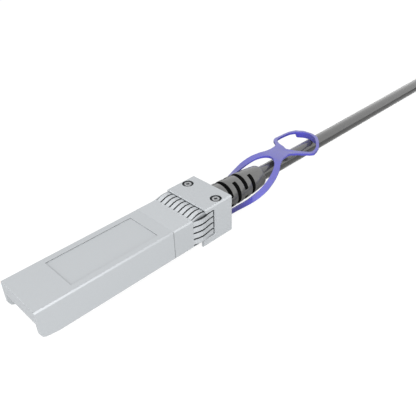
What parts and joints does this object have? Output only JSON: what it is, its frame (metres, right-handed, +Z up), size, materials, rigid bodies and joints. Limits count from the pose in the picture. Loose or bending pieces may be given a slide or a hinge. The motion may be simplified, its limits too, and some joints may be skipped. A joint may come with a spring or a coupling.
{
  "type": "direct attach copper cable",
  "caption": "Copper network cable with a small form factor plug at each end, a spring collar, a violet pull tab and a slotted boot on each plug, its spare length coiled and tied.",
  "frame": {"origin": "centre of the flat underside of the near plug's nose", "axes": "+X along the plug towards its cable, +Z up through the cover with the two screws"},
  "size_m": [0.2336, 0.0666, 0.0105],
  "materials": {
    "shell_casting": "satin",
    "spring_sheet": "satin",
    "plated_screw": "polished",
    "green_laminate": "gloss",
    "gold_contact": "polished",
    "black_package": "matte",
    "ceramic_block": "matte",
    "wire_cover": "matte",
    "tinned_copper": "polished",
    "ferrule_metal": "satin",
    "grey_rubber": "matte",
    "slider_steel": "satin",
    "spring_wire": "satin",
    "violet_tab": "satin",
    "cable_jacket": "matte",
    "tie_strap": "matte"
  },
  "bodies": {
    "plugs_and_cable": {"top_cover": "shell_casting", "base_shell": "shell_casting", "emi_spring_collar": "spring_sheet", "cover_screws": "plated_screw", "paddle_card": "green_laminate", "card_contacts": "gold_contact", "memory_chip": "black_package", "coupling_capacitors": "ceramic_block", "twinax_pairs": "wire_cover", "conductor_ends": "tinned_copper", "crimp_ferrule": "ferrule_metal", "strain_relief_boot": "grey_rubber", "return_spring": "spring_wire", "far_top_cover": "shell_casting", "far_base_shell": "shell_casting", "far_emi_spring_collar": "spring_sheet", "far_cover_screws": "plated_screw", "far_paddle_card": "green_laminate", "far_card_contacts": "gold_contact", "far_memory_chip": "black_package", "far_coupling_capacitors": "ceramic_block", "far_twinax_pairs": "wire_cover", "far_conductor_ends": "tinned_copper", "far_crimp_ferrule": "ferrule_metal", "far_strain_relief_boot": "grey_rubber", "far_return_spring": "spring_wire", "cable_lead": "cable_jacket", "cable_coil": "cable_jacket", "far_cable_lead": "cable_jacket", "coil_tie": "tie_strap"},
    "release": {"latch_slider": "slider_steel", "pull_tab": "violet_tab"},
    "far_release": {"far_latch_slider": "slider_steel", "far_pull_tab": "violet_tab"}
  },
  "joints": [
    {"name": "release_slide", "type": "slide", "parent": "plugs_and_cable", "child": "release", "axis": [1, 0, 0], "range_m": [0, 0.0016], "stiffness_N_per_m": 1500, "springref_m": -0.0004, "deforming": ["return_spring"]},
    {"name": "far_release_slide", "type": "slide", "parent": "plugs_and_cable", "child": "far_release", "axis": [1, 0, 0], "range_m": [0, 0.0016], "stiffness_N_per_m": 1500, "springref_m": -0.0004, "deforming": ["far_return_spring"]}
  ]
}
